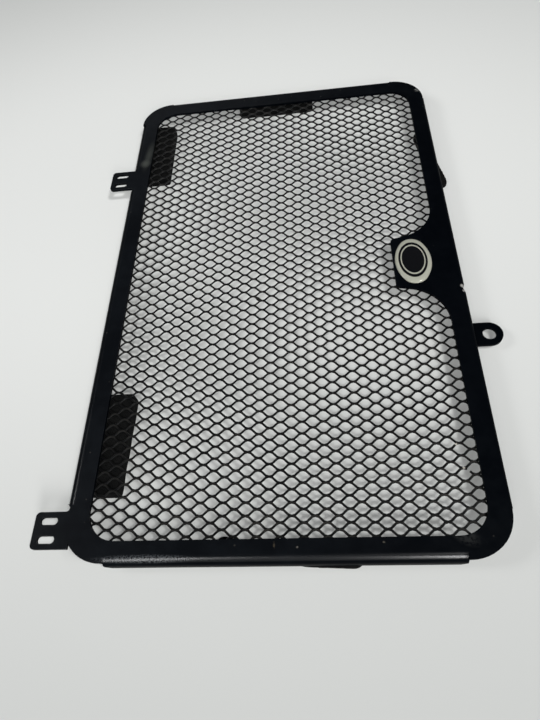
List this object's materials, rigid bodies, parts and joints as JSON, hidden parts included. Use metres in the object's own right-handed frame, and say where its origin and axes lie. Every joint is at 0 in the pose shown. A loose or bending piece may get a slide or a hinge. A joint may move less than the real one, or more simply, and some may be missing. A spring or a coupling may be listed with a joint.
{
  "type": "motorcycle radiator guard",
  "caption": "Flat rectangular radiator guard: black folded sheet frame with rounded corners over an expanded diamond mesh, tie tabs, a bolt tab, a lobe with an oval badge and foam pads behind.",
  "frame": {"origin": "middle of the guard's footprint on the bench, at the undersides of the foam pads and strips", "axes": "+Z out of the guard's face, +Y along its length towards the top side, +X across it towards the side with the lobe and the bolt tab"},
  "size_m": [0.2187, 0.31, 0.0116],
  "materials": {
    "frame_paint": "satin black powder coat, worn along the folds",
    "mesh_coat": "satin black coat on expanded metal",
    "badge_face": "clear dome over a silver-grey ground",
    "foam": "matte closed-cell foam"
  },
  "bodies": {
    "root": {"frame": "frame_paint", "mesh": "mesh_coat", "badge": "badge_face", "left_upper_pad": "foam", "left_lower_pad": "foam", "top_strip": "foam", "right_strip": "foam", "bottom_strip": "foam"}
  },
  "joints": []
}
